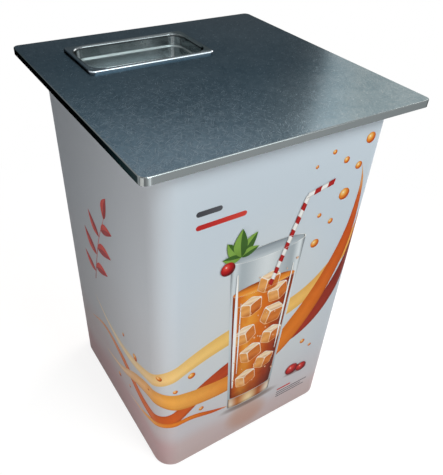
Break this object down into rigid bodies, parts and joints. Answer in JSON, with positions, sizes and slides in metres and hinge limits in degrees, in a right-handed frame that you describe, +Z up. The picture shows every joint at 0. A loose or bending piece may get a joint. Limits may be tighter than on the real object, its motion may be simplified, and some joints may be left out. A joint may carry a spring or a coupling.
{
  "type": "ice well bar table",
  "caption": "Square standing bar table with a folded stainless top, a lift-out ice pan, a printed wrap panel and a shelved cabinet behind a rear door.",
  "frame": {"origin": "middle of the table's footprint, on the floor", "axes": "+Z up, -Y towards the printed front, +Y towards the server's side with the door, +X to the right seen from the front"},
  "size_m": [0.7, 0.7, 1.056],
  "materials": {
    "worktop_steel": "linished, fine random scratches",
    "pan_steel": "bright, pressed",
    "printed_panel": "satin print on white sheet",
    "door_board": "satin white",
    "white_board": "melamine faced",
    "plywood": "sealed birch plywood",
    "pine": "planed",
    "aluminium_tube": "mill finish",
    "zinc_steel": "zinc plated",
    "black_nylon": "moulded"
  },
  "bodies": {
    "carcass": {"worktop_skin": "worktop_steel", "worktop_core": "white_board", "graphic_panel": "printed_panel", "base_board": "plywood", "top_frame": "plywood", "post_front_left": "aluminium_tube", "post_front_right": "aluminium_tube", "post_rear_left": "aluminium_tube", "post_rear_right": "aluminium_tube", "post_plugs": "black_nylon", "post_bolts": "zinc_steel", "bolt_washers": "zinc_steel", "shelf": "white_board", "collar_front_left": "black_nylon", "collar_front_right": "black_nylon", "collar_rear_left": "black_nylon", "collar_rear_right": "black_nylon", "collar_screws": "zinc_steel", "stile_left": "pine", "stile_right": "pine", "top_screws": "zinc_steel", "stile_screws": "zinc_steel", "panel_screws": "zinc_steel", "hinge_frame_leaf_lower": "zinc_steel", "hinge_pin_lower": "zinc_steel", "hinge_frame_leaf_upper": "zinc_steel", "hinge_pin_upper": "zinc_steel", "hinge_frame_screws": "zinc_steel", "foot_front_left": "black_nylon", "foot_front_right": "black_nylon", "foot_rear_left": "black_nylon", "foot_rear_right": "black_nylon", "foot_screws": "zinc_steel"},
    "pan": {"ice_pan": "pan_steel"},
    "door": {"door_panel": "door_board", "hinge_door_leaf_lower": "zinc_steel", "hinge_door_leaf_upper": "zinc_steel", "hinge_door_screws": "zinc_steel", "latch_housing": "zinc_steel", "latch_nut": "zinc_steel"},
    "latch": {"latch_knob": "black_nylon", "latch_cam": "zinc_steel", "latch_screw": "zinc_steel"}
  },
  "joints": [
    {"name": "pan_lift", "type": "slide", "parent": "carcass", "child": "pan", "axis": [0, 0, 1], "range_m": [0, 0.12]},
    {"name": "door_swing", "type": "hinge", "parent": "carcass", "child": "door", "pos_m": [0.209, 0.3078, 0.5], "axis": [0, 0, -1], "range_deg": [0, 170]},
    {"name": "latch_turn", "type": "hinge", "parent": "door", "child": "latch", "pos_m": [-0.186, 0.304, 0.6], "axis": [0, 1, 0], "range_deg": [0, 90]}
  ]
}
